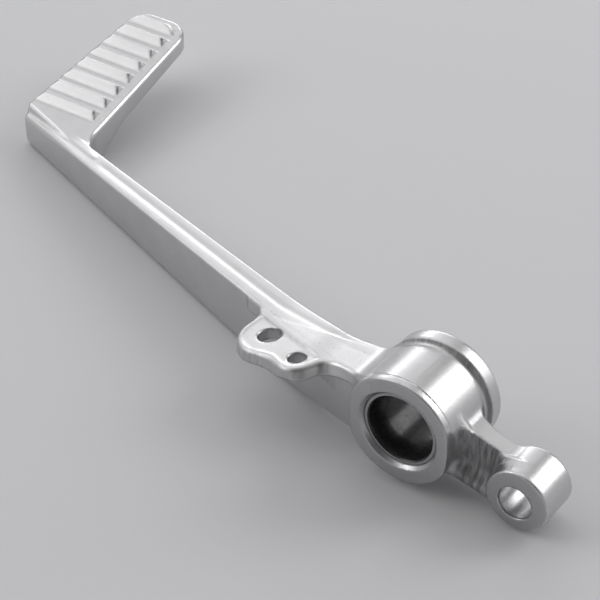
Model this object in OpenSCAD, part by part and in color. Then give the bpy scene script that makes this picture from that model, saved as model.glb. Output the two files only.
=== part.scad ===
// Rear brake pedal: one aluminium casting with a ribbed toe plate, a straight
// arm, a two-hole tab, a pivot hub and a rod lever, and a dry sliding bush
// pressed into the hub. The pivot axis is Y, the arm runs to -X, +Z is up as
// the pedal lies on a table, and the origin is the middle of the pivot bore.

/* [Pivot bush] */
// Inner diameter of the bush, the running bore of the pedal
bush_bore = 16; // [14:0.5:17]
// Wall of the wrapped bush
bush_wall = 1; // [0.8:0.1:1.4]
// Length of the bush
bush_length = 18; // [14:0.5:19]
// Lead chamfer inside each end of the bush
bush_chamfer = 0.3; // [0.1:0.05:0.5]

/* [Pivot hub] */
// Length of the hub along the pivot axis
hub_length = 20; // [20:0.5:26]
// Radius of the turned face at the near end
face_radius = 13.1; // [12.6:0.1:14]
// Half width between the flats of the near end
face_half_width = 12.2; // [11.9:0.1:13]
// Length of the turned near end
face_length = 2.2; // [1.5:0.1:3]
// Radius of the cast barrel behind the turned face
barrel_radius = 12.1; // [11.4:0.1:12.6]
// Radius of the collar at the far end
collar_radius = 13.4; // [12.8:0.1:14.5]
// Thickness of the collar
collar_thickness = 3.8; // [2.5:0.1:4.5]
// Radius of the collar's rounded outer edge
collar_edge = 0.7; // [0.3:0.1:1]
// Chamfer at each mouth of the hub bore
bore_chamfer = 0.8; // [0.4:0.1:1]

/* [Arm] */
// Distance from the pivot to the end of the arm along X
arm_reach = 154.2; // [140:0.2:165]
// Where the near side of the arm meets the hub plane, along Y
arm_side_y = -10.4; // [-11.5:0.1:-9.5]
// Outward angle of the arm's near side seen from above
arm_angle = 19.8; // [17:0.1:22]
// Width of the arm at the toe end
arm_width_toe = 5; // [4.4:0.1:7]
// Width of the arm where the tab starts
arm_width_tab = 7.4; // [6:0.1:9]
// Distance from the pivot down to the arm's flat underside
rest_height = 15; // [14.6:0.1:16]
// Height of the arm at the toe end
arm_height_toe = 8.7; // [7:0.1:11]
// Height of the arm at the hub
arm_height_hub = 19.8; // [18.5:0.1:21]
// Rounding of the arm's long edges
arm_edge = 1.1; // [0.5:0.1:2]
// Width of the shallow groove along the arm's top
groove_width = 1.8; // [1:0.1:2.4]
// Depth of that groove
groove_depth = 0.35; // [0.15:0.05:0.6]
// Distance from the arm's toe end to the start of the groove
groove_start = 34; // [28:1:50]

/* [Toe plate] */
// Width of the toe plate at its tip
toe_width = 18.2; // [16:0.1:20]
// Width of the toe plate at the arm
toe_root_width = 23.2; // [20.5:0.1:24.4]
// Length of the toe plate from the arm's end corner
toe_length = 48; // [45:0.5:56]
// Rise of the top for each millimetre of length
toe_rise = 0.12; // [0.08:0.01:0.16]
// Tilt of the toe plate across its width, in degrees, the outer edge lower
toe_tilt = 2.3; // [0:0.1:4]
// Thickness at the tip
toe_tip_thickness = 3.8; // [2.4:0.1:4.4]
// Thickness where the gusset to the arm begins
toe_root_thickness = 5.8; // [4.2:0.1:6.4]
// Radius of the tip's corners
toe_corner = 8; // [5:0.5:9]
// Height of the top at the arm above the arm's own top end
toe_step = 2; // [1.2:0.1:2.6]
// Radius of the inner corner between plate and arm
toe_fillet = 5.5; // [3:0.5:6]
// Distance between the grip ribs
rib_pitch = 5.5; // [5:0.1:6]
// Height of the grip ribs
rib_height = 1.1; // [0.7:0.1:1.6]
// Width of a rib at its foot
rib_foot = 3.9; // [2.5:0.1:4.5]
// Offset of a rib's crest from the middle of its foot, away from the arm
rib_lean = 0.6; // [0:0.1:0.9]
// Clear length of the plate past the last rib's crest
rib_end = 2.6; // [2:0.1:5]
// Width of a rib's flat crest
rib_crest = 0.5; // [0.3:0.1:0.9]
// Smooth margin between the ribs and the inner edge
rib_margin = 2.2; // [1.5:0.1:4]
// Run of a rib's slanted inner end
rib_slant = 2.4; // [1:0.1:3]
// Run of a rib's slanted outer end
rib_outer_slant = 1.8; // [1:0.1:3]
// Distance from the arm's end corner to the first rib
rib_start = 7.4; // [6.5:0.1:9]

/* [Tab] */
// Radius of the lobe around the large hole
tab_lobe = 7.6; // [6.8:0.1:8.5]
// Radius of the lobe around the small hole
tab_small_lobe = 4.8; // [4.2:0.1:5.4]
// Thickness of the tab
tab_thickness = 3; // [2.4:0.1:3.6]
// Slope of the tab's top towards the hub, in degrees
tab_slope = 8.8; // [6:0.1:11]
// Large hole, for the return spring's bolt
tab_hole = 5.5; // [4:0.1:6.5]
// Small hole, for the stop lamp's spring
tab_small_hole = 4.2; // [3:0.1:5]
// Large hole's distance from the pivot along X
tab_hole_x = 40; // [38:0.1:42]
// Large hole's place along Y
tab_hole_y = -0.8; // [-2:0.1:0]
// Small hole's distance from the large one along X
tab_hole_pitch_x = 10.9; // [10:0.1:12]
// Small hole's offset from the large one along Y
tab_hole_pitch_y = -4.6; // [-5.5:0.1:-3.5]
// Radius of the scallop between the small lobe and the hub
tab_scallop = 4.6; // [3.8:0.1:5]
// Height of the tab's top at the large hole
tab_top = 1.9; // [1.2:0.1:2.4]

/* [Rod lever] */
// Diameter of the cross hole for the master cylinder's clevis pin
pin_hole = 8; // [6:0.5:9]
// Distance from the pivot to the cross hole along X
pin_x = 27.6; // [26:0.1:32]
// Height of the cross hole's axis, below the pivot
pin_drop = 7.5; // [6.8:0.1:8]
// Length of the boss
boss_length = 10.4; // [8.5:0.1:11]
// Distance from the hub's near face to the boss's near face
boss_inset = 2.4; // [1.5:0.1:4]
// Thickness of the web between hub and boss
web_thickness = 5; // [4.2:0.1:6]
// Height of the ledge along the web's lower edge
web_ledge = 2; // [1.4:0.1:2.6]
// Height of the web at the hub, above the pivot axis
web_rise = 2.2; // [1:0.1:4]
// Depth of the web at the hub, below the pivot axis
web_drop = 10; // [9:0.1:11]

/* [Hidden] */
$fn = 64;
// Margin by which cutting tools pass through a face
past = 1;
// Number of straight steps in a quarter turn of an outline
arc_steps = 8;

near_y = -hub_length / 2;
far_y = hub_length / 2;
bore_radius = bush_bore / 2 + bush_wall;
collar_near_y = far_y - collar_thickness;
boss_near_y = near_y + boss_inset;
boss_far_y = boss_near_y + boss_length;
rest_z = -rest_height;
// The boss is as large as the plane the pedal rests on lets it be
boss_radius = rest_height - pin_drop;
// The boss sits this much further out than its hole
boss_shift = 0.4;
boss_x = pin_x + boss_shift;
side_slope = tan(arm_angle);
arm_top_slope = (arm_height_hub - arm_height_toe) / arm_reach;
toe_start_y = side_y(-arm_reach);
// Step in plan between the arm's end corner and the plate's outer edge
toe_offset = 1.4;
toe_end_y = toe_start_y + toe_length + toe_offset;
toe_base_z = arm_top(-arm_reach) + toe_step;
// As many ribs as the plate has room for
rib_count = floor((toe_end_y - toe_start_y - rib_start - rib_end) / rib_pitch) + 1;
toe_inner_x = -arm_reach + toe_root_width;
// Distance of the groove from the arm's near side, along Y
groove_side = 4.4;
// The groove stops this far short of the tab's large hole
groove_stop = 14;
// Length over which the plate's near edge runs along the arm
toe_run = 26;
// Depth to which the plate's outline runs into the arm
toe_bite = 3;
// Length from the arm's end corner over which the plate keeps its root width
toe_root_run = 4;
// Side view of the gusset under the plate's root: where it starts, its length,
// how far above the ground it ends, and the power of its curve
gusset_start = 13;
gusset_run = 11;
gusset_lift = 1.2;
gusset_curve = 1.35;
// Rounding of the arm's lower corner at its toe end
foot_round = 2.6;
// The root's underside meets the barrel at this angle from its lowest line
root_foot_angle = 19.5844;
// So it rises by this much into the hub, along this stretch
hub_lift = rest_height - barrel_radius * cos(root_foot_angle);
lift_start = 46;
lift_run = 34;
// Near and far side of the arm's root, where it runs into the barrel
root_half_near = -5.6;
root_half_far = collar_near_y - 0.5;
// Softness of the bend in the far side of the arm's root
root_bend = 1;
// Fillets of the root into the barrel, above and below
root_top_fillet = 5;
root_foot_fillet = 6;
// Dip of the tab's near edge between its two lobes
tab_waist = 0.8;
// Stretch of arm beside the tab's large hole that the tab is joined to
tab_run = 10.5;
// The tab's far edge stays this far inside the root's far side
tab_inset = 1;
// Swell of the lever's web into the hub on its far and near side, and the
// stretch each takes
web_far_swell = 2.1;
web_far_run = 9;
web_near_swell = 3.2;
web_near_run = 4;
// The web's far side lies this far inside the boss's far face
web_inset = 0.7;
// Width of the web's ledge on its near side
web_ledge_width = 2.6;
// Stretch over which the web's near side swells into the boss
web_boss_run = 6;
// The web ends this far inside the outline of the boss
web_tuck = 2;
// Small break of the collar's inner edge
collar_break = 0.3;

// Point on a circle
function on_circle(x, y, r, a) = [x + r * cos(a), y + r * sin(a)];
// Points of an arc from angle a to angle b
function arc_points(x, y, r, a, b, n = arc_steps) =
    [for (i = [0:n]) on_circle(x, y, r, a + (b - a) * i / n)];
// Near side of the arm, far side and top at a place along X
function side_y(x) = arm_side_y - x * side_slope;
function arm_width(x) = arm_width_toe
    + (arm_width_tab - arm_width_toe) * (x + arm_reach) / (arm_reach - tab_hole_x);
function far_side_y(x) = side_y(x) + arm_width(x) / cos(arm_angle);
function arm_line(x) = rest_z + arm_height_toe + arm_top_slope * (x + arm_reach);
function tab_plane(x) = tab_top + tan(tab_slope) * (x + tab_hole_x);
function arm_top(x) = max(arm_line(x), tab_plane(x));
// Top of the toe plate at a place along Y
function toe_top(y) = toe_base_z + toe_rise * (y - toe_start_y);
// Amount by which a rounding of radius r draws in a face at distance d from the end
function draw_in(d, r) = d >= r ? 0 : r - sqrt(r * r - (r - d) * (r - d));
// Swell that fades away over a run from a place
function swell(x, place, run, size) = size * pow(max(1 - abs(x - place) / run, 0), 2);
// Smooth step from 0 to 1
function ease(t) = let (u = min(max(t, 0), 1)) u * u * (3 - 2 * u);

// A block that stands on an outline in the XZ plane, from y = a to y = b
module slab_y(a, b) {
    translate([0, b, 0]) rotate([90, 0, 0]) linear_extrude(height = b - a) children();
}

// A cylinder along Y from y = a to y = b
module shaft_y(r, a, b, x = 0, z = 0) {
    translate([x, b, z]) rotate([90, 0, 0]) cylinder(r = r, h = b - a);
}

// Rounded corner section of the arm at a place along X, as a ring of points
function corner_ring(x, y0, y1, z0, z1, r) = [
    for (p = arc_points(y1 - r, z1 - r, r, 0, 90, 3)) [x, p[0], p[1]],
    for (p = arc_points(y0 + r, z1 - r, r, 90, 180, 3)) [x, p[0], p[1]],
    for (p = arc_points(y0 + r, z0 + r, r, 180, 270, 3)) [x, p[0], p[1]],
    for (p = arc_points(y1 - r, z0 + r, r, 270, 360, 3)) [x, p[0], p[1]]
];

// Stations of the arm from the toe end to the inside of the hub: the place
// along X, how far the section is drawn in, and how far its foot is lifted
function arm_stations() = [
    for (d = [0, arm_edge / 3, arm_edge, (arm_edge + foot_round) / 2, foot_round])
        [-arm_reach + d, draw_in(d, arm_edge), draw_in(d, foot_round)],
    for (x = [-arm_reach + 12:12:-tab_hole_x - 10]) [x, 0, 0],
    for (x = [-42, -34, -27, -20, -14, -8]) [x, 0, 0]
];
function under_z(x) = rest_z + hub_lift * ease((x + lift_start) / lift_run);
// The far side bends from its straight line until it is parallel to the hub
function arm_far_y(x) = let (over = far_side_y(x) - root_half_far)
    root_half_far + over / 2 + sqrt(over * over / 4 + root_bend);
function arm_near_y(x) = max(side_y(x), root_half_near);
function arm_ring(s) = let (x = s[0], in = s[1])
    corner_ring(x, arm_near_y(x) + in, arm_far_y(x) - in, under_z(x) + s[2], arm_top(x) - in, arm_edge);

// Closed loft through rings of equal count
module loft(rings) {
    n = len(rings[0]);
    m = len(rings);
    polyhedron(
        points = [for (r = rings) for (p = r) p],
        faces = concat(
            [[for (i = [0:n - 1]) i]],
            [[for (i = [0:n - 1]) (m - 1) * n + n - 1 - i]],
            [for (k = [0:m - 2]) for (i = [0:n - 1])
                let (a = k * n + i, b = k * n + (i + 1) % n) [a, a + n, b]],
            [for (k = [0:m - 2]) for (i = [0:n - 1])
                let (a = k * n + i, b = k * n + (i + 1) % n) [b, a + n, b + n]]),
        convexity = 4);
}

// The straight arm, with rounded edges
module arm() {
    loft([for (s = arm_stations()) arm_ring(s)]);
}

// Outline of the toe plate seen from above
function toe_inner(y) = toe_inner_x
    - (toe_root_width - toe_width) * (y - toe_start_y - toe_root_run) / (toe_length - toe_root_run);
module toe_outline() {
    out_x = -arm_reach + toe_corner;
    in_x = toe_inner(toe_end_y - toe_corner) - toe_corner;
    corner_y = toe_end_y - toe_corner;
    fillet_x = toe_inner(toe_start_y) + toe_fillet;
    fillet_y = far_side_y(fillet_x) + toe_fillet / cos(arm_angle);
    polygon(concat(
        [[-arm_reach, toe_start_y + toe_offset],
         [-arm_reach + toe_run, side_y(-arm_reach + toe_run) + toe_bite],
         [fillet_x, far_side_y(fillet_x) - toe_bite]],
        [for (p = arc_points(fillet_x, fillet_y, toe_fillet, 270 - arm_angle, 184)) p],
        arc_points(in_x, corner_y, toe_corner, 0, 90),
        arc_points(out_x, corner_y, toe_corner, 90, 180)));
}

// Side view of the toe plate, with its gusset under the root
module toe_side() {
    steps = 6;
    near = toe_start_y - gusset_start;
    tip = toe_end_y + past;
    root = toe_start_y + gusset_start;
    root_z = toe_top(root) - toe_root_thickness;
    foot_z = rest_z + gusset_lift;
    polygon(concat(
        [[near, toe_top(near)], [tip, toe_top(tip)], [tip, toe_top(tip) - toe_tip_thickness]],
        [for (i = [0:steps])
            [root - gusset_run * i / steps, root_z - (root_z - foot_z) * pow(i / steps, gusset_curve)]],
        [[near, foot_z]]));
}

// Places a child on the plate's tilt, which turns about its inner edge
module on_tilt() {
    translate([toe_inner_x, 0, toe_base_z]) rotate([0, -toe_tilt, 0])
        translate([-toe_inner_x, 0, -toe_base_z]) children();
}

module toe_plate() {
    intersection() {
        translate([0, 0, rest_z]) linear_extrude(height = rest_height + arm_height_hub) toe_outline();
        on_tilt() translate([-arm_reach - past, 0, 0]) rotate([90, 0, 90])
            linear_extrude(height = 2 * toe_root_width) toe_side();
    }
}

// One grip rib: a ridge across the plate with a slanted inner end
module rib(i) {
    y = toe_start_y + rib_start + i * rib_pitch;
    z = toe_top(y);
    tip_turn = toe_end_y - toe_corner;
    turned = min(max(y - tip_turn, 0), toe_corner - rib_crest);
    cut_in = toe_corner - sqrt(pow(toe_corner, 2) - pow(turned, 2));
    x0 = -arm_reach + cut_in * 1.4;
    x1 = toe_inner(y) - rib_margin - cut_in;
    near = y - rib_foot / 2 - rib_lean;
    far = y + rib_foot / 2 - rib_lean;
    c = rib_crest / 2;
    low = toe_top(near) - past;
    top = z + rib_height;
    polyhedron(
        points = [
            [x0, near, low], [x0, far, toe_top(far) - past],
            [x0, far, toe_top(far)], [x0 + rib_outer_slant, y + c, top],
            [x0 + rib_outer_slant, y - c, top], [x0, near, toe_top(near)],
            [x1, near, low], [x1, far, toe_top(far) - past],
            [x1, far, toe_top(far)], [x1 - rib_slant, y + c, top],
            [x1 - rib_slant, y - c, top], [x1, near, toe_top(near)]],
        faces = [[0, 1, 2, 3, 4, 5], [11, 10, 9, 8, 7, 6], [0, 6, 7, 1], [1, 7, 8, 2],
                 [2, 8, 9, 3], [3, 9, 10, 4], [4, 10, 11, 5], [5, 11, 6, 0]]);
}

// Tab seen from above, in the frame of its large hole; it runs on along the
// root of the arm to the hub
module tab_outline() {
    small = [tab_hole_pitch_x, tab_hole_pitch_y];
    far_edge = root_half_far - tab_inset - tab_hole_y;
    near_edge = root_half_near - tab_waist * 2 - tab_hole_y;
    hub_x = tab_hole_x - barrel_radius + 3;
    difference() {
        union() {
            circle(r = tab_lobe);
            translate(small) circle(r = tab_small_lobe);
            polygon([[-tab_lobe - tab_waist, tab_run / 2], on_circle(0, 0, tab_lobe, 168),
                     [0, -tab_lobe],
                     [small[0] / 2, tab_waist - tab_lobe],
                     [small[0] - tab_small_lobe * 0.6, small[1] - tab_small_lobe * 0.7],
                     small, [hub_x, near_edge], [hub_x, far_edge], [small[0] + tab_scallop, far_edge],
                     [0, side_y(-tab_hole_x) - tab_hole_y + toe_bite],
                     [-tab_run, side_y(-tab_hole_x - tab_run) - tab_hole_y + 1]]);
        }
        translate([small[0] + tab_small_lobe * 2, small[1] - tab_small_lobe * 0.75])
            circle(r = tab_scallop);
    }
}

module tab() {
    translate([-tab_hole_x, tab_hole_y, tab_top]) rotate([0, -tab_slope, 0])
        translate([0, 0, -tab_thickness]) linear_extrude(height = tab_thickness) tab_outline();
}

module tab_holes() {
    translate([-tab_hole_x, tab_hole_y, tab_top]) rotate([0, -tab_slope, 0]) {
        translate([0, 0, -tab_thickness - past])
            cylinder(d = tab_hole, h = tab_thickness + 2 * past);
        translate([tab_hole_pitch_x, tab_hole_pitch_y, -tab_thickness - past])
            cylinder(d = tab_small_hole, h = tab_thickness + 2 * past);
    }
}

// Concave fillet in the XZ plane between the barrel and a straight edge
// z = m x + c, on the side of the barrel that s names: 1 towards +X, -1
// towards -X; up is 1 for an edge that faces up and -1 for one that faces down
module barrel_fillet(m, c, r, s, up) {
    off = c + up * r * sqrt(1 + m * m);
    reach = barrel_radius + r;
    aa = 1 + m * m;
    bb = 2 * m * off;
    cc = off * off - reach * reach;
    x = (-bb + s * sqrt(bb * bb - 4 * aa * cc)) / (2 * aa);
    z = m * x + off;
    foot = [x + up * r * m / sqrt(1 + m * m), z - up * r / sqrt(1 + m * m)];
    touch = [x, z] * barrel_radius / reach;
    difference() {
        polygon([[0, 0], touch, [x, z], foot]);
        translate([x, z]) circle(r = r);
    }
}

// Root of the arm, faired into the barrel
module arm_root() {
    slab_y(root_half_near, root_half_far - tab_inset / 2) {
        barrel_fillet(tan(tab_slope), tab_plane(0), root_top_fillet, -1, 1);
        barrel_fillet(0, rest_z + hub_lift, root_foot_fillet, -1, -1);
    }
}

// Far and near side of the lever's web at a place along X
function web_far_side(x) = boss_far_y - web_inset
    + swell(max(x, barrel_radius), barrel_radius, web_far_run, web_far_swell);
function web_near_side(x) = boss_far_y - web_inset - web_thickness
    - swell(max(x, barrel_radius), barrel_radius, web_near_run, web_near_swell)
    - swell(x, boss_x, web_boss_run, boss_length - web_inset - web_thickness - web_tuck / 2);

// Rod lever: a web between the hub and the boss, and the boss
module lever() {
    places = [0, for (t = [0:0.25:1]) barrel_radius + web_near_run * t,
              for (t = [0:0.25:1]) boss_x - web_boss_run * (1 - t)];
    last = len(places) - 1;
    low_x = barrel_radius * 0.65;
    low_z = rest_z + collar_break * 2;
    web_far = boss_far_y - web_inset;
    intersection() {
        slab_y(near_y, far_y)
            polygon([[0, 0], [barrel_radius / 3, web_rise + web_tuck], [barrel_radius, web_rise],
                     [boss_x, boss_radius - pin_drop - web_tuck], [boss_x, low_z],
                     [low_x, -web_drop], [0, -web_drop]]);
        translate([0, 0, -2 * rest_height]) linear_extrude(height = 4 * rest_height)
            polygon(concat(
                [for (x = places) [x, web_near_side(x)]],
                [for (i = [last:-1:0]) [places[i], web_far_side(places[i])]]));
    }
    slab_y(web_far - web_thickness - web_ledge_width, web_far)
        polygon([[low_x, -web_drop], [boss_x, low_z], [boss_x, low_z + web_ledge],
                 [low_x, web_ledge - web_drop]]);
    shaft_y(boss_radius, boss_near_y, boss_far_y, boss_x, -pin_drop);
}

// Pivot hub: turned near end, cast barrel and far collar
module hub() {
    intersection() {
        shaft_y(face_radius, near_y, near_y + face_length);
        slab_y(near_y, near_y + face_length) translate([-face_half_width, -face_radius])
            square([2 * face_half_width, 2 * face_radius]);
    }
    shaft_y(barrel_radius, near_y + face_length / 2, far_y - collar_thickness / 2);
    rotate([-90, 0, 0]) rotate_extrude() polygon(concat(
        [[0, collar_near_y], [collar_radius - collar_break, collar_near_y],
         [collar_radius, collar_near_y + collar_break]],
        arc_points(collar_radius - collar_edge, far_y - collar_edge, collar_edge, 0, 90, 4),
        [[0, far_y]]));
}

// Shallow groove along the arm's top
module arm_groove() {
    start_x = -arm_reach + groove_start;
    length = arm_reach - groove_start - tab_hole_x - groove_stop;
    translate([start_x, side_y(start_x) + groove_side, arm_top(start_x)])
        rotate([0, -atan(arm_top_slope), -arm_angle])
            translate([0, 0, groove_width - groove_depth]) rotate([0, 90, 0])
                cylinder(r = groove_width, h = length);
}

module pedal_casting() {
    color("gainsboro") difference() {
        union() {
            arm();
            toe_plate();
            on_tilt() for (i = [0:rib_count - 1]) rib(i);
            tab();
            arm_root();
            hub();
            lever();
        }
        shaft_y(bore_radius, near_y - past, far_y + past);
        for (s = [0, 1]) mirror([0, s, 0]) translate([0, far_y, 0]) rotate([-90, 0, 0])
            translate([0, 0, -bore_chamfer])
                cylinder(r1 = bore_radius, r2 = bore_radius + bore_chamfer + past,
                         h = bore_chamfer + past);
        shaft_y(pin_hole / 2, boss_near_y - past, boss_far_y + past, pin_x, -pin_drop);
        tab_holes();
        arm_groove();
    }
}

// Wrapped dry sliding bush, flush between the two mouth chamfers
module pivot_bush() {
    color("dimgray") rotate([-90, 0, 0]) translate([0, 0, -bush_length / 2]) rotate_extrude() {
        inner = bush_bore / 2;
        polygon([[inner, bush_chamfer], [inner + bush_chamfer, 0], [bore_radius, 0],
                 [bore_radius, bush_length], [inner + bush_chamfer, bush_length],
                 [inner, bush_length - bush_chamfer]]);
    }
}

pedal_casting();
pivot_bush();
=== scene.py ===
"""Looks of a cast rear brake pedal: the casting as one filleted skin, its bush, finishes, light and camera."""
import logging
from dataclasses import dataclass
from enum import Enum
from typing import Callable, Sequence

import bpy
import numpy as np
from mathutils import Euler, Matrix, Vector
from numpy import hypot, maximum, minimum


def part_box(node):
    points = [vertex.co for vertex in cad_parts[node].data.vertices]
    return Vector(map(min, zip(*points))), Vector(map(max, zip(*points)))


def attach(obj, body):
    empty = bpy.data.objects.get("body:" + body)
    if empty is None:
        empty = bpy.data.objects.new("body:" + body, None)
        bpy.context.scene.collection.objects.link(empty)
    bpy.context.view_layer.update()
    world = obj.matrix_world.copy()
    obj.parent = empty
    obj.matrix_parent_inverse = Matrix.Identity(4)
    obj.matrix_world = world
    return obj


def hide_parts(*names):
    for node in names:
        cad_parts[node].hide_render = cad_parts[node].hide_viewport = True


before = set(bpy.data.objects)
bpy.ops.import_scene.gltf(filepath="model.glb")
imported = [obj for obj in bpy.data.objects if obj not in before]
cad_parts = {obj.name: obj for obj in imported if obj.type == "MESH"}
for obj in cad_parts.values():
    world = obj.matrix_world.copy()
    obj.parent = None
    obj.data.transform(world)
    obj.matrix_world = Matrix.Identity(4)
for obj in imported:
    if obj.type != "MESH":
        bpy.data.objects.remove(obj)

log = logging.getLogger("brake_pedal")

MM = 0.001
Array = np.ndarray
Place = tuple[float, float, float]
Pair = tuple[float, float]
Field = Callable[[Array, Array, Array], Array]
# Places x, y and z are whole arrays in mm; a distance to a solid is in mm and negative inside it.


class Zone(Enum):
    """Finish zones of the casting, in the order of its material slots."""

    CAST = 0
    TURNED = 1


def joined(a: Array, b: Array, r: float | Array) -> Array:
    """Union of two solids with a fillet: where both distances are under r, it is r less the shortfalls' length.

    Args:
        a: distance to the first solid.
        b: distance to the second solid.
        r: fillet radius in mm, one or one for each place.

    Returns:
        The distance to the joined solid.
    """
    return maximum(r, minimum(a, b)) - hypot(maximum(r - a, 0), maximum(r - b, 0))


def met(a: Array, b: Array, r: float | Array) -> Array:
    """Common part of two solids whose edge is rounded by radius r: the same rule turned inside out."""
    return minimum(-r, maximum(a, b)) + hypot(maximum(r + a, 0), maximum(r + b, 0))


def soft_max(a: Array, b: Array, width: float) -> Array:
    """Larger of two heights with the crease between them eased over a width."""
    return 0.5 * (a + b + np.sqrt((a - b) ** 2 + width**2))


def soft_min(a: Array, b: Array, width: float) -> Array:
    """Smaller of two heights with the crease between them eased over a width."""
    return 0.5 * (a + b - np.sqrt((a - b) ** 2 + width**2))


def ease(t: Array) -> Array:
    """Smooth step from 0 to 1: three t squared less two t cubed."""
    u = np.clip(t, 0, 1)
    return u * u * (3 - 2 * u)


def past(value: Array, start: float, width: float) -> Array:
    """Share that eases from 0 at a start to 1 a width further on; a negative width goes the other way."""
    return ease((value - start) / width)


@dataclass(frozen=True)
class PivotHub:
    """Barrel with a turned near face, a far collar and the bore for the bush; sizes in mm."""

    half_length: float = 10.0
    barrel_radius: float = 12.1
    barrel_inset: float = 0.5
    face_radius: float = 13.1
    face_half_width: float = 12.2
    face_corner: float = 0.9
    face_length: float = 2.2
    face_edge: float = 0.25
    collar_radius: float = 13.4
    collar_thickness: float = 3.8
    collar_edge: float = 0.7
    collar_inner_edge: float = 0.35
    bore_radius: float = 9.0
    bore_chamfer: float = 0.8

    def barrel(self, x: Array, y: Array, z: Array) -> Array:
        """Distance to the barrel: radius from the pivot axis less its own, cut by its two ends."""
        ends = np.abs(y) - self.half_length + self.barrel_inset
        return maximum(hypot(x, z) - self.barrel_radius, ends)

    def turned_end(self, x: Array, y: Array, z: Array) -> Array:
        """Distance to the near ring: a short disc whose left and right are cut by flats."""
        disc = hypot(x, z) - self.face_radius
        round_side = met(disc, np.abs(x) - self.face_half_width, self.face_corner)
        slab = np.abs(y + self.half_length - self.face_length / 2) - self.face_length / 2
        return met(round_side, slab, self.face_edge)

    def collar(self, x: Array, y: Array, z: Array) -> Array:
        """Distance to the far collar: a disc with a rounded rim."""
        disc = hypot(x, z) - self.collar_radius
        outer = met(disc, y - self.half_length, self.collar_edge)
        return met(outer, self.half_length - self.collar_thickness - y, self.collar_inner_edge)

    def bore(self, x: Array, y: Array, z: Array) -> Array:
        """Distance to the space of the bore with its mouth chamfers, negative in the space."""
        away = hypot(x, z)
        mouth = self.bore_radius + self.bore_chamfer - (self.half_length - np.abs(y))
        return minimum(away - self.bore_radius, (away - mouth) * np.sqrt(0.5))


@dataclass(frozen=True)
class PedalArm:
    """Straight arm that lies flat on its underside and runs from the toe end to the hub; sizes in mm."""

    reach: float = 154.2
    inner_end: float = -2.0
    side_y: float = -10.4
    angle: float = 19.8
    width_toe: float = 5.0
    width_tab: float = 7.4
    tab_x: float = -40.0
    top_toe: float = -6.3
    top_rise: float = 0.0735
    rest_z: float = -15.0
    hub_lift: float = 3.6
    lift_span: Pair = (-46.0, 34.0)
    root_near: float = -5.6
    root_near_round: float = 3.0
    root_far: float = 5.7
    bend: float = 1.0
    top_edge: float = 0.5
    toe_top_edge: float = 0.8
    toe_top_span: Pair = (-128.0, -16.0)
    far_edge: float = 0.7
    low_edge: float = 1.4
    end_edge: float = 1.2
    foot_edge: float = 2.8
    groove_depth: float = 0.17
    groove_width: float = 0.85
    groove_start: Pair = (-122.0, 5.0)
    groove_drift: float = 0.095
    groove_drift_from: float = -44.0
    groove_fade: float = 0.45
    groove_fade_span: Pair = (-50.0, 14.0)
    groove_end: Pair = (-24.0, 14.0)

    def near_plane(self, x: Array, y: Array) -> Array:
        """Distance behind the arm's upright near side, positive inside the arm."""
        a = np.radians(self.angle)
        return x * np.sin(a) + (y - self.side_y) * np.cos(a)

    def width(self, x: Array) -> Array:
        """Width square to the near side: grows evenly from the toe end to the tab."""
        return self.width_toe + (self.width_tab - self.width_toe) * (x + self.reach) / (self.reach + self.tab_x)

    def far_side(self, x: Array, y: Array) -> Array:
        """Distance past the far side, which bends from the arm's line to run parallel to the hub.

        Over is how far the straight line lies past the root's far side; the bend adds half of it and
        the root of a quarter of its square plus the square of the bend's size.
        """
        a = np.radians(self.angle)
        over = self.side_y - x * np.tan(a) + self.width(x) / np.cos(a) - self.root_far
        root = np.sqrt(over**2 / 4 + self.bend**2)
        line = self.root_far + over / 2 + root
        slope = np.tan(a) * (0.5 + over / 4 / root)
        return (y - line) / np.sqrt(1 + slope**2)

    def line_top(self, x: Array) -> Array:
        """Height of the arm's own straight top."""
        return self.top_toe + self.top_rise * (x + self.reach)

    def groove(self, x: Array, behind: Array) -> Array:
        """Depth of the soft groove: a bell across the arm, halfway over its width, that drifts to the far side."""
        at = 0.5 * self.width(x) + self.groove_drift * maximum(x - self.groove_drift_from, 0)
        begun = past(x, *self.groove_start)
        kept = 1 - self.groove_fade * past(x, *self.groove_fade_span)
        ended = past(x, *self.groove_end)
        bell = np.exp(-(((behind - at) / self.groove_width) ** 2))
        return self.groove_depth * begun * kept * (1 - ended) * bell

    def distance(self, x: Array, y: Array, z: Array, top_z: Array) -> Array:
        """Distance to the arm: near side, far side, top with its groove, underside and rounded toe end."""
        behind = self.near_plane(x, y)
        near = met(-behind, self.root_near - y, self.root_near_round)
        top = z - top_z + self.groove(x, behind)
        under = self.rest_z + self.hub_lift * past(x, *self.lift_span) - z
        top_edge = self.top_edge + self.toe_top_edge * past(x, *self.toe_top_span)
        section = met(met(near, top, top_edge), self.far_side(x, y), self.far_edge)
        section = met(section, under, self.low_edge)
        end = met(-self.reach - x, under, self.foot_edge)
        return maximum(met(section, end, self.end_edge), x - self.inner_end)


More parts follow.
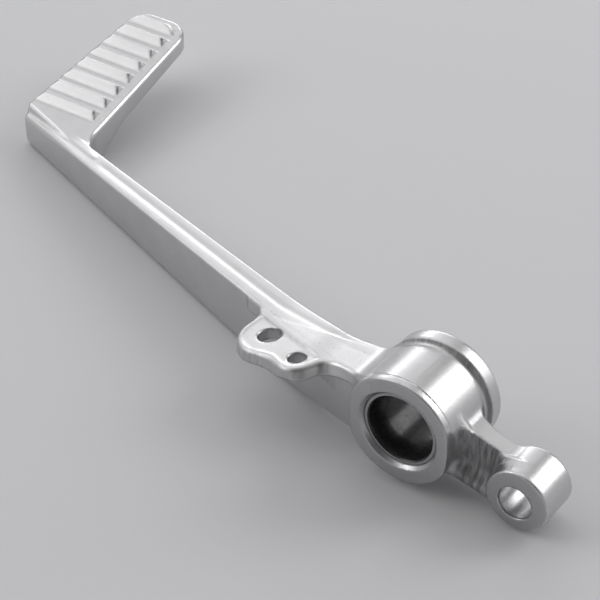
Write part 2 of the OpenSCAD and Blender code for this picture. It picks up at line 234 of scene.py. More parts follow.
@dataclass(frozen=True)
class GripRibs:
    """Eight grip ribs across the toe plate, like a coarse rasp; sizes in mm."""

    first_y: float = 52.52
    pitch: float = 5.5
    count: int = 8
    height: float = 1.15
    valley: float = 0.9
    near_run: float = 2.9
    near_power: float = 1.6
    crest: float = 0.3
    far_run: float = 0.9
    margin: float = 2.6
    slant: float = 1.9
    tip_margin: float = 2.08
    tip_slant: float = 0.95
    slant_power: float = 1.2
    corner: float = 9.3
    far_softness: float = 0.25
    crest_softness: float = 0.15
    end_softness: float = 0.1
    foot_softness: float = 0.08
    # Hip and foot widths and the foot's share shape the painted shade on the ribs.
    hip_width: float = 0.62
    foot_shade_share: float = 0.2
    foot_width: float = 0.35

    def past_foot(self, y: Array) -> Array:
        """Distance past the foot of the near face of the rib that a place belongs to."""
        foot = self.first_y - self.crest / 2 - self.near_run
        turn = (y - foot + self.valley) / self.pitch
        number = np.clip(np.floor(turn), 0, self.count - 1)
        return (turn - number) * self.pitch - self.valley

    def rise(self, y: Array, from_inner: Array, from_tip: Array, from_outer: Array) -> Array:
        """Height of the ribs above the plate.

        Along Y each rib climbs its hollow near face, keeps its crest and falls its far run, once for
        every pitch; towards the inner edge, the tip and the outer edge it falls along slants.

        Args:
            y: places along Y.
            from_inner: distance inside the inner edge.
            from_tip: distance inside the tip's rounded end.
            from_outer: distance inside the outer edge and its rounded corner.
        """
        v = self.past_foot(y)
        climb = maximum(v / self.near_run, 0) ** self.near_power
        fall = (self.near_run + self.crest + self.far_run - v) / self.far_run
        inner = (from_inner - self.margin) / self.slant
        tip = (from_tip - self.tip_margin) / self.tip_slant
        ends = minimum(minimum(inner, tip), from_outer / self.slant)
        ends = maximum(ends, 0) ** self.slant_power
        ridge = soft_min(soft_min(climb, fall, self.far_softness), 1.0, self.crest_softness)
        return self.height * soft_max(soft_min(ridge, ends, self.end_softness), 0.0, self.foot_softness)

    def painted_rib_shade(self, y: Array, from_inner: Array) -> Array:
        """Painted shade on the ribs: how dark a place is, most on each hip, where near face and inner slant meet.

        It falls off as a bell from the hip, and from the foot, where it is faint.
        """
        v = self.past_foot(y)
        inside = from_inner - self.margin
        hip_at = self.near_run * (maximum(inside, 0) / self.slant) ** (self.slant_power / self.near_power)
        on_face = past(v, 0.5, 0.6) * past(v, self.near_run + 0.3, -0.4)
        hip = np.exp(-(((v - hip_at) / self.hip_width) ** 2)) * on_face
        foot = self.foot_shade_share * np.exp(-((v / self.foot_width) ** 2)) * past(inside, 0.0, 1.0)
        return maximum(hip, foot) * (y > self.first_y - self.crest / 2 - self.near_run - self.valley)


@dataclass(frozen=True)
class ToePlate:
    """Ribbed plate under the rider's toe, with a gusset down to the arm; sizes in mm."""

    reach: float = 154.2
    start_y: float = 45.12
    root_width: float = 23.2
    tip_width: float = 18.2
    taper_start: float = 4.0
    taper_length: float = 44.0
    length: float = 49.4
    base_z: float = -4.3
    rise: float = 0.135
    tilt: float = 0.6
    corner: float = 6.6
    inner_fillet: float = 6.0
    fillet_end_x: float = -122.0
    fillet_end_round: float = 1.5
    arm_overlap: float = 1.0
    inner_edge: float = 1.2
    outer_edge: float = 0.6
    low_edge: float = 0.9
    root_depth: float = 4.24
    under_rise: float = 0.175
    under_from: float = 58.1
    gusset_slope: float = 0.46
    gusset_end: float = 57.5
    gusset_bend: float = 2.0
    step_at: float = 1.4
    step_slant: float = 0.09
    step_bow: float = 0.0015
    step_lean: float = 0.45
    step_edge: float = 0.6
    step_softness: float = 0.2
    top_scale: float = 0.9
    low_scale: float = 0.92
    ribs: GripRibs = GripRibs()

    def from_inner(self, x: Array, y: Array) -> Array:
        """Distance inside the inner edge, which narrows the plate evenly towards its tip."""
        taper = (self.root_width - self.tip_width) / self.taper_length
        line = -self.reach + self.root_width - taper * (y - self.start_y - self.taper_start)
        return (line - x) / hypot(1, taper)

    def underside(self, y: Array) -> Array:
        """Height of the underside over the plate's base: it rises with the plate, and bends down into the gusset.

        The bend is half of the way to the gusset's end plus the root of a quarter of its square plus
        a quarter of the bend's square, times the gusset's slope.
        """
        way = self.gusset_end - y
        bent = 0.5 * (way + np.sqrt(way**2 + self.gusset_bend**2))
        return self.under_rise * (y - self.under_from) - self.root_depth - self.gusset_slope * bent

    def distance(self, x: Array, y: Array, z: Array, arm_far: Array, arm_behind: Array, arm_z: Array) -> Array:
        """Distance to the toe plate.

        Its top is a tilted, rising plane with the ribs on it, and over the arm no lower than the arm's
        own top. A step on the arm, which starts along a bowed line and leans outwards, ends the plate
        at its near side.

        Args:
            x, y, z: places in mm.
            arm_far: distance past the arm's far side.
            arm_behind: distance behind its near side.
            arm_z: height of its top.
        """
        t = np.radians(self.tilt)
        lean = (x + self.reach - self.root_width) * np.sin(t)
        up = (z - self.base_z) * np.cos(t) - lean
        over_arm = (arm_z - self.base_z) * np.cos(t) - lean
        inner = -self.from_inner(x, y)
        outer = -self.reach - x
        tip = y - self.start_y - self.length
        rib_tip = met(inner, tip, self.ribs.corner)
        rib_outer = met(outer, tip, self.ribs.corner)
        plane = self.rise * (y - self.start_y) + self.ribs.rise(y, -inner, -rib_tip, -rib_outer)
        top = (up - soft_max(plane, over_arm, self.step_softness)) * self.top_scale
        under = (self.underside(y) - up) * self.low_scale
        inner_plan = met(inner, tip, self.corner)
        filled = joined(inner_plan, maximum(arm_far + self.arm_overlap, tip), self.inner_fillet)
        filled = met(filled, x - self.fillet_end_x, self.fillet_end_round)
        along = x + self.reach
        step = self.step_at + self.step_slant * along - self.step_bow * along**2
        near = step + self.step_lean * maximum(z - arm_z, 0) - arm_behind
        plate = met(filled, top, self.inner_edge)
        plate = met(plate, near, self.step_edge)
        plate = met(plate, met(outer, tip, self.corner), self.outer_edge)
        return met(plate, under, self.low_edge)


@dataclass(frozen=True)
class DrilledTab:
    """Sloping tab with a large and a small hole and a scallop before the hub; sizes in mm."""

    centre: Place = (-40.0, -0.8, 1.9)
    slope: float = 8.8
    thickness: float = 3.0
    lobe: float = 7.35
    lobe_draft: float = 0.16
    small_lobe: float = 4.6
    small_draft: float = 0.25
    small_at: Pair = (10.9, -4.6)
    waist_fillet: float = 6.0
    shoulder_gap: float = 0.2
    shoulder_reach: float = 17.0
    shoulder_fillet: float = 6.0
    flange_y: float = 2.35
    flange_draft: float = 0.42
    flange_start: float = 4.0
    flange_fillet: float = 2.0
    arm_end: float = -15.0
    hub_end: float = 31.0
    far_y: float = 6.3
    far_extra: float = 3.2
    far_extra_span: Pair = (-2.0, -6.0)
    hole_radius: float = 2.75
    small_hole_radius: float = 2.1
    edge: float = 0.8
    low_edge: float = 0.5
    step_at: float = -2.05
    step_drift: float = 0.015
    step_drift_from: float = -44.0
    step_run: float = 0.9
    step_depth: float = 0.65
    step_softness: float = 0.2
    pan_depth: float = 0.14
    pan_span: Pair = (-1.1, -0.5)
    top_scale: float = 0.93

    def on_tab(self, x: Array, y: Array, z: Array) -> tuple[Array, Array, Array]:
        """Places in the tab's own frame, with its third axis square to its top."""
        t = np.radians(self.slope)
        rx, rz = x - self.centre[0], z - self.centre[2]
        return rx * np.cos(t) + rz * np.sin(t), y - self.centre[1], rz * np.cos(t) - rx * np.sin(t)

    def top(self, x: Array) -> Array:
        """Height of the tab's top plane above a place along X."""
        return self.centre[2] + np.tan(np.radians(self.slope)) * (x - self.centre[0])

    def arm_share(self, x: Array, behind: Array) -> Array:
        """How far a place belongs to the arm's top: 0 on the tab, 1 past a line along the arm, eased between."""
        line = self.step_at - self.step_drift * (x - self.step_drift_from)
        return past(behind, line, self.step_run)

    def plan(self, p: Array, q: Array, depth: Array, behind: Array) -> Array:
        """Distance to the tab's outline: two lobes, a shoulder at the arm and a flange up to the hub.

        Places along and across the tab are p and q; the outline widens with the depth under its top.
        """
        big = hypot(p, q) - self.lobe - self.lobe_draft * depth
        small = self.from_small(p, q) - self.small_lobe - self.small_draft * depth
        lobes = joined(big, small, self.waist_fillet)
        shoulder = maximum(-behind - self.shoulder_gap, -p - self.shoulder_reach)
        lobes = joined(lobes, shoulder, self.shoulder_fillet)
        edge = (-q - self.flange_y - self.flange_draft * depth) / hypot(1, self.flange_draft)
        flange = maximum(edge, maximum(self.flange_start - p, p - self.hub_end))
        outline = joined(lobes, flange, self.flange_fillet)
        far = q - self.far_y - self.far_extra * past(p, *self.far_extra_span)
        return maximum(outline, maximum(far, maximum(p - self.hub_end, self.arm_end - p)))

    def distance(self, x: Array, y: Array, z: Array, share: Array, behind: Array, arm_z: Array) -> Array:
        """Distance to the tab: its outline in plan times its thickness.

        The top is the tab's own plane, a little panned inside its rim, and the arm's height past the
        line along the arm, so that a low step runs between them.
        Share is how far a place belongs to the arm's top, behind how far it is behind its near side.
        """
        p, q, r = self.on_tab(x, y, z)
        plan = self.plan(p, q, np.clip(-r, 0, self.thickness), behind)
        floor = soft_max(self.top(x), arm_z - self.step_depth, self.step_softness)
        floor = floor - self.pan_depth * past(plan, *self.pan_span)
        raised = (floor + (arm_z - floor) * share - self.top(x)) * np.cos(np.radians(self.slope))
        solid = met(plan, (r - raised) * self.top_scale, self.edge)
        return met(solid, -self.thickness - r, self.low_edge)

    def holes(self, x: Array, y: Array, z: Array) -> Array:
        """Distance to the space of the two holes."""
        p, q, _ = self.on_tab(x, y, z)
        big = hypot(p, q) - self.hole_radius
        return minimum(big, self.from_small(p, q) - self.small_hole_radius)

    def from_small(self, p: Array, q: Array) -> Array:
        """Distance from the small hole's axis."""
        return hypot(p - self.small_at[0], q - self.small_at[1])


@dataclass(frozen=True)
class RodLever:
    """Web and drilled boss that push the master cylinder's rod; sizes in mm."""

    pin_x: float = 27.6
    pin_z: float = -7.5
    pin_radius: float = 4.0
    boss_x: float = 28.1
    boss_axis_z: float = -6.75
    boss_radius: float = 7.38
    boss_near: float = -7.6
    boss_far: float = 2.8
    boss_near_edge: float = 0.35
    boss_edge: float = 0.8
    boss_fillet: float = 1.0
    boss_near_extra: float = 2.2
    top_at: Pair = (15.9, 1.1)
    top_fall: float = 0.27
    low_at: Pair = (8.0, -9.9)
    low_fall: float = 0.22
    web_near: float = -2.9
    web_far: float = 1.95
    web_edge: float = 0.6
    far_flare: float = 2.2
    far_flare_end: float = 18.5
    far_flare_run: float = 7.0
    near_flare: float = 1.6
    near_flare_end: float = 15.5
    near_flare_run: float = 6.0
    flare_limit: float = 1.2
    boss_swell: float = 0.0125
    boss_swell_from: float = 18.0
    swell_span: Pair = (-6.0, 6.0)
    side_scale: float = 0.95
    ledge_near: float = -4.8
    ledge_height: float = 2.0
    ledge_edge: float = 0.8
    ledge_fillet: float = 3.6
    foot_edge: float = 0.8

    def sides(self, x: Array, y: Array, z: Array) -> tuple[Array, Array]:
        """Distances past the web's near and far side, which flare to the hub as squares of the way left.

        The near side swells again towards the boss, both only high up on the web.
        """
        far_way = np.clip((self.far_flare_end - x) / self.far_flare_run, 0, self.flare_limit)
        near_way = np.clip((self.near_flare_end - x) / self.near_flare_run, 0, self.flare_limit)
        far = (y - self.web_far - self.far_flare * far_way**2) * self.side_scale
        swell = self.near_flare * near_way**2 + self.boss_swell * maximum(x - self.boss_swell_from, 0) ** 2
        high = past(z, *self.swell_span)
        return (self.web_near - swell * high - y) * self.side_scale, far

    def distance(self, x: Array, y: Array, z: Array) -> Array:
        """Distance to the lever: a web with flaring sides, a ledge along its foot, and the boss.

        The fillet between web and boss is small above and behind and wide on the near side.
        """
        top = (z - self.top_at[1] + self.top_fall * (x - self.top_at[0])) / hypot(1, self.top_fall)
        low = (self.low_at[1] - self.low_fall * (x - self.low_at[0]) - z) / hypot(1, self.low_fall)
        near, far = self.sides(x, y, z)
        web = met(met(top, near, self.web_edge), far, self.web_edge)
        ledge = met(-low - self.ledge_height, self.ledge_near - y, self.ledge_edge)
        web = joined(web, maximum(ledge, far), self.ledge_fillet)
        web = met(web, low, self.foot_edge)
        web = maximum(web, maximum(x - self.boss_x, -x))
        boss = met(self.past_boss(x, z), self.boss_near - y, self.boss_near_edge)
        boss = met(boss, y - self.boss_far, self.boss_edge)
        fillet = self.boss_fillet + self.boss_near_extra * past(y, -1.5, -2.0)
        return joined(web, boss, fillet)

    def past_boss(self, x: Array, z: Array) -> Array:
        """Distance past the boss's round side."""
        return hypot(x - self.boss_x, z - self.boss_axis_z) - self.boss_radius

    def past_pin(self, x: Array, z: Array) -> Array:
        """Distance past the round side of the clevis pin's hole."""
        return hypot(x - self.pin_x, z - self.pin_z) - self.pin_radius


@dataclass(frozen=True)
class SkinMesher:
    """Draws a closed skin round a distance field and keeps its edges crisp; sizes in mm."""

    step: float = 0.415
    block: int = 6
    low_steps: float = 2.3
    high_steps: float = 2.0
    near_share: float = 1.35
    half_diagonal: float = 0.87
    batch: int = 800
    least_growth: float = 1e-6
    settle_steps: float = 0.3
    corner_steps: float = 0.6
    pull: float = 0.03
    hair: float = 0.01
    blend: float = 0.16

    def build(self, shape: Field, low: Array, high: Array) -> tuple[Array, Array, Array]:
        """Samples the field and sets one corner in each cell that the surface crosses.

        The corner is the point that lies nearest to the tangent planes at the cell's crossings, pulled a
        little to their mean; four cells round each crossed grid edge give a face.

        Args:
            shape: distance field of the solid.
            low: lowest corner of the box to search.
            high: highest corner of the box.

        Returns:
            Corners, quads as rows of four corner numbers, and the outward direction at each corner.
        """
        low = low - self.low_steps * self.step
        blocks = np.ceil((high + self.high_steps * self.step - low) / (self.step * self.block)).astype(int)
        grid = self.sample(shape, low, blocks)
        strides = np.array([grid.shape[1] * grid.shape[2], grid.shape[2], 1])
        places, rounds = [], []
        for axis, step in enumerate(np.eye(3, dtype=int)):
            signs = np.moveaxis(grid < 0, axis, 0)
            crossed = np.moveaxis(signs[:-1] != signs[1:], 0, axis)
            nodes = np.argwhere(crossed)
            a, b = grid[tuple(nodes.T)], grid[tuple((nodes + step).T)]
            places.append(low + self.step * (nodes + step * (a / (a - b))[:, None]))
            cells = np.array([(0, 0), (-1, 0), (-1, -1), (0, -1)]) @ strides[step == 0]
            around = (nodes @ strides)[:, None] + cells
            flip = (a < 0) == (axis == 1)
            around[flip] = around[flip][:, ::-1]
            rounds.append(around)
        place, normal = self.settle(shape, np.concatenate(places))
        cells, quads = np.unique(np.concatenate(rounds), return_inverse=True)
        quads = quads.reshape(-1, 4)
        corners = self.corners(place, normal, quads, len(cells))
        return corners, quads, self.slope(shape, corners, self.blend)[1]

    def sample(self, shape: Field, low: Array, blocks: Array) -> Array:
        """Field on a grid from its lowest point on, worked out only in blocks near the surface.

        Far from the surface only the sign is right.
        """
        size = self.step * self.block
        middles = [low[k] + size * (np.arange(blocks[k]) + 0.5) for k in range(3)]
        coarse = shape(*np.meshgrid(*middles, indexing="ij"))
        near = np.abs(coarse) < self.near_share * (self.half_diagonal * size + self.step)
        grid = coarse.astype(np.float32)
        for k in range(3):
            grid = np.repeat(grid, self.block, axis=k)
            grid = np.concatenate([grid, np.take(grid, [-1], axis=k)], axis=k)
        offset = np.stack(np.meshgrid(*[np.arange(self.block + 1)] * 3, indexing="ij"), -1).reshape(-1, 3)
        starts = np.argwhere(near) * self.block
        for part in np.array_split(starts, max(1, len(starts) // self.batch)):
            nodes = (part[:, None, :] + offset[None]).reshape(-1, 3)
            grid[tuple(nodes.T)] = shape(*(low + self.step * nodes).T)
        return grid

    def slope(self, shape: Field, place: Array, hair: float) -> tuple[Array, Array]:
        """Field and its unit direction of growth at each place, by differences over a short reach."""
        rises = [shape(*(place + hair * axis).T) - shape(*(place - hair * axis).T) for axis in np.eye(3)]
        growth = np.stack(rises, 1) / (2 * hair)
        length = maximum(np.linalg.norm(growth, axis=1), self.least_growth)
        return shape(*place.T) / length, growth / length[:, None]

    def settle(self, shape: Field, place: Array) -> tuple[Array, Array]:
        """Crossings moved onto the surface along its direction, and that direction."""
        off, normal = self.slope(shape, place, self.hair)
        most = self.settle_steps * self.step
        return place - np.clip(off, -most, most)[:, None] * normal, normal

    def corners(self, place: Array, normal: Array, quads: Array, number: int) -> Array:
        """Corner of each cell from the least squares of the tangent planes at its crossings.

        Each crossing brings its direction and the four cells round it.
        """
        cell, point = quads.ravel(), np.repeat(np.arange(len(place)), 4)
        hits = np.bincount(cell, minlength=number).astype(float)
        mean = np.stack([np.bincount(cell, place[point, k], number) for k in range(3)], 1) / hits[:, None]
        n = normal[point]
        reach = np.einsum("ij,ij->i", n, place[point] - mean[cell])
        right = np.stack([np.bincount(cell, n[:, i] * reach, number) for i in range(3)], 1)
        pairs = [np.bincount(cell, n[:, i] * n[:, j], number) for i in range(3) for j in range(3)]
        matrix = np.stack(pairs, 1).reshape(-1, 3, 3) + (self.pull * hits)[:, None, None] * np.eye(3)
        shift = np.linalg.solve(matrix, right[:, :, None])[:, :, 0]
        most = self.corner_steps * self.step
        return mean + np.clip(shift, -most, most)


def hex_linear(code: str) -> tuple[float, float, float, float]:
    """Linear colour of an sRGB hex value such as #C8C8CA, with full alpha."""
    values = [int(code[i : i + 2], 16) / 255 for i in (1, 3, 5)]
    linear = [v / 12.92 if v <= 0.04045 else ((v + 0.055) / 1.055) ** 2.4 for v in values]
    return (linear[0], linear[1], linear[2], 1.0)


@dataclass
class NodeBench:
    """Lays out the nodes of one material or world."""

    tree: bpy.types.NodeTree

    def add(self, kind: str, links: dict[str, object] | None = None, **settings: object) -> bpy.types.NodeOutputs:
        """Adds a node.

        Args:
            kind: Blender's name of the node type, less its first word ShaderNode.
            links: socket name or number to an output socket or a plain value.
            **settings: the node's own properties.

        Returns:
            The outputs of the new node.
        """
        node = self.tree.nodes.new("ShaderNode" + kind)
        for name, value in settings.items():
            setattr(node, name, value)
        for name, value in (links or {}).items():
            socket = node.inputs[int(name)] if name.isdigit() else node.inputs[name]
            if isinstance(value, bpy.types.NodeSocket):
                self.tree.links.new(value, socket)
            else:
                socket.default_value = value
        return node.outputs


def spread(value: bpy.types.NodeSocket, source: Pair, target: Pair) -> dict[str, object]:
    """Settings that map one range of a value onto another."""
    return dict(zip(("Value", "From Min", "From Max", "To Min", "To Max"), (value, *source, *target)))


def grains(place: bpy.types.NodeSocket, size_mm: float, detail: float, roughness: float = 0.5) -> dict[str, object]:
    """Settings of a noise on object coordinates in metres whose grains are a size in mm."""
    return {"Vector": place, "Scale": 1 / (size_mm * MM), "Detail": detail, "Roughness": roughness}


def new_material(name: str) -> tuple[bpy.types.Material, NodeBench]:
    """Empty node material with its bench."""
    material = bpy.data.materials.new(name)
    material.use_nodes = True
    material.node_tree.nodes.clear()
    return material, NodeBench(material.node_tree)


@dataclass(frozen=True)
class CastAluminium:
    """Bead-blasted and tumbled aluminium casting: pale satin metal with a fine, soft grain."""

    colour: str = "#D2D2D3"
    # Dark grey of the painted shade in the hollows and on the ribs' hips.
    painted_shade_colour: str = "#5C5C5E"
    gloss: Pair = (0.26, 0.39)
    recess_roughness: float = 0.26
    grain_mm: float = 0.55
    ripple_mm: float = 7.0
    stria_mm: float = 0.8
    stria_turn: float = 0.35
    stria_stretch: Place = (1.0, 0.25, 0.14)

    def make(self) -> bpy.types.Material:
        """Builds the material; its grain is a little coarser than real blasting so that it shows."""
        material, bench = new_material("cast_aluminium")
        place = bench.add("TexCoord")["Object"]
        stria = bench.add("Attribute", attribute_name="stria")["Fac"]
        # The shade attribute is painted shade: it darkens the colour in the lever's recess, by the collar, on the tab's
        # wall and on the ribs' hips.
        shade = bench.add("Attribute", attribute_name="shade")["Fac"]
        # A fine grain keeps highlights soft and a little sandy, as blasted metal does.
        grain = bench.add("TexNoise", grains(place, self.grain_mm, 3.0, 0.6))["Fac"]
        rough = bench.add("MapRange", spread(grain, (0.25, 0.75), self.gloss))["Result"]
        worn_gloss = {"0": stria, "1": self.recess_roughness, "2": rough}
        coarse = bench.add("Math", worn_gloss, operation="MULTIPLY_ADD")["Value"]
        # Wide, faint clouds break up large flats that would otherwise look painted.
        ripple = bench.add("TexNoise", grains(place, self.ripple_mm, 2.0))
        tone = bench.add("MapRange", spread(ripple["Fac"], (0.3, 0.7), (0.0, 0.07)))["Result"]
        # Long upright streaks show how the recess of the lever was drawn: they make it dull and break up the painted
        # shade that darkens it and the other hollows.
        turned = {"Vector": place, "Rotation": (0.0, self.stria_turn, 0.0), "Scale": self.stria_stretch}
        stretched = bench.add("Mapping", turned)["Vector"]
        lines = bench.add("TexNoise", grains(stretched, self.stria_mm, 3.0, 0.65))["Fac"]
        streaks = bench.add("MapRange", spread(lines, (0.38, 0.62), (0.45, 1.15)))["Result"]
        streaked_shade = bench.add("Math", {"0": shade, "1": streaks}, operation="MULTIPLY")["Value"]
        depth = bench.add("Math", {"0": tone, "1": streaked_shade}, operation="ADD", use_clamp=True)["Value"]
        # Painted shade: the colour turns to the dark grey as the shade attribute and its streaks rise.
        tones = {"0": depth, "6": hex_linear(self.colour), "7": hex_linear(self.painted_shade_colour)}
        colour = bench.add("Mix", tones, data_type="RGBA")[2]
        cut = bench.add("MapRange", spread(stria, (0.5, 1.0), (0.0, 0.8)))["Result"]
        drawn = bench.add("Math", {"0": lines, "1": cut}, operation="MULTIPLY")["Value"]
        fine = bench.add("Bump", {"Strength": 0.22, "Distance": 0.06 * MM, "Height": grain})["Normal"]
        relief = bench.add("Bump", {"Strength": 0.9, "Distance": 0.45 * MM, "Height": drawn, "Normal": fine})["Normal"]
        metal = {"Base Color": colour, "Roughness": coarse, "Normal": relief, "Metallic": 1.0}
        bench.add("OutputMaterial", {"Surface": bench.add("BsdfPrincipled", metal)["BSDF"]})
        return material


@dataclass(frozen=True)
class TurnedAluminium:
    """Faced aluminium: smooth, a shade darker than the casting, with faint tool rings."""

    colour: str = "#B9B9BB"
    gloss: Pair = (0.25, 0.37)
    grain_mm: float = 0.4
    ring_mm: float = 0.5

    def make(self) -> bpy.types.Material:
        """Builds the material; the tool rings follow the distance from the pivot axis."""
        material, bench = new_material("turned_aluminium")
        place = bench.add("TexCoord")["Object"]
        grain = bench.add("TexNoise", grains(place, self.grain_mm, 3.0, 0.6))["Fac"]
        flat = bench.add("VectorMath", {"0": place, "1": (1.0, 0.0, 1.0)}, operation="MULTIPLY")["Vector"]
        away = bench.add("VectorMath", {"0": flat}, operation="LENGTH")["Value"]
        # Rings round the pivot tell that the face was cut on a lathe.
        rings_place = bench.add("CombineXYZ", {"X": away})["Vector"]
        rings = bench.add("TexNoise", grains(rings_place, self.ring_mm, 2.0))["Fac"]
        both = bench.add("Math", {"0": grain, "1": 0.7, "2": rings}, operation="MULTIPLY_ADD")["Value"]
        bump = bench.add("Bump", {"Strength": 0.25, "Distance": 0.04 * MM, "Height": both})["Normal"]
        rough = bench.add("MapRange", spread(grain, (0.25, 0.75), self.gloss))["Result"]
        metal = {"Base Color": hex_linear(self.colour), "Roughness": rough, "Normal": bump, "Metallic": 1.0}
        bench.add("OutputMaterial", {"Surface": bench.add("BsdfPrincipled", metal)["BSDF"]})
        return material


@dataclass(frozen=True)
class PlainFinish:
    """One colour whose gloss follows a fine mottle, between a lower and an upper roughness."""

    name: str
    colour: str
    gloss: Pair
    mottle_mm: float
    detail: float
    coarseness: float
    bump: float
    metallic: float

    def make(self) -> bpy.types.Material:
        """Builds the material."""
        material, bench = new_material(self.name)
        place = bench.add("TexCoord")["Object"]
        mottle = bench.add("TexNoise", grains(place, self.mottle_mm, self.detail, self.coarseness))["Fac"]
        rough = bench.add("MapRange", spread(mottle, (0.3, 0.7), self.gloss))["Result"]
        relief = bench.add("Bump", {"Strength": self.bump, "Distance": 0.05 * MM, "Height": mottle})["Normal"]
        skin = {"Base Color": hex_linear(self.colour), "Roughness": rough, "Normal": relief, "Metallic": self.metallic}
        bench.add("OutputMaterial", {"Surface": bench.add("BsdfPrincipled", skin)["BSDF"]})
        return material


# Dark, slightly glossy polymer; its mottle breaks up the lamp's reflection in the bore.
SLIDING_LINING = PlainFinish("bush_lining", "#232325", (0.2, 0.34), 1.4, 4.0, 0.6, 0.15, 0.0)
# Cut end of the bush's steel shell: a thin bright ring, sharper than the turned face beside it.
BARE_STEEL = PlainFinish("bush_shell", "#A9A9AB", (0.28, 0.4), 0.35, 2.0, 0.5, 0.0, 1.0)
# Matt pale paper, so that the floor takes soft shadows and gives no reflection of its own.
STUDIO_PAPER = "#D8D8DA"


def mesh_object(name: str, places_mm: Array, faces: Array, normals: Array | None = None) -> bpy.types.Object:
    """Makes and links a smooth-shaded object at the origin from whole arrays.

    Args:
        name: name of the object and its mesh.
        places_mm: corners in mm.
        faces: quads as rows of corner numbers.
        normals: direction at each corner, where the surface's own is better than the faces' mean.
    """
    mesh = bpy.data.meshes.new(name)
    mesh.vertices.add(len(places_mm))
    mesh.vertices.foreach_set("co", (places_mm * MM).astype(np.float32).ravel())
    mesh.loops.add(faces.size)
    mesh.loops.foreach_set("vertex_index", faces.astype(np.int32).ravel())
    mesh.polygons.add(len(faces))
    mesh.polygons.foreach_set("loop_start", np.arange(0, faces.size, 4, dtype=np.int32))
    mesh.polygons.foreach_set("use_smooth", np.ones(len(faces), bool))
    mesh.update(calc_edges=True)
    mesh.validate()
    if normals is not None:
        mesh.normals_split_custom_set_from_vertices(normals.tolist())
    obj = bpy.data.objects.new(name, mesh)
    bpy.context.scene.collection.objects.link(obj)
    return obj


def grid_quads(rows: int, columns: int, closed: bool) -> Array:
    """Faces of a grid of corners numbered row by row; closed joins its last row and column to the first."""
    ends = 0 if closed else 1
    i, j = np.meshgrid(np.arange(rows - ends), np.arange(columns - ends), indexing="ij")
    here, down, right = i * columns, (i + 1) % rows * columns, (j + 1) % columns
    return np.stack([here + j, down + j, down + right, here + right], -1).reshape(-1, 4)


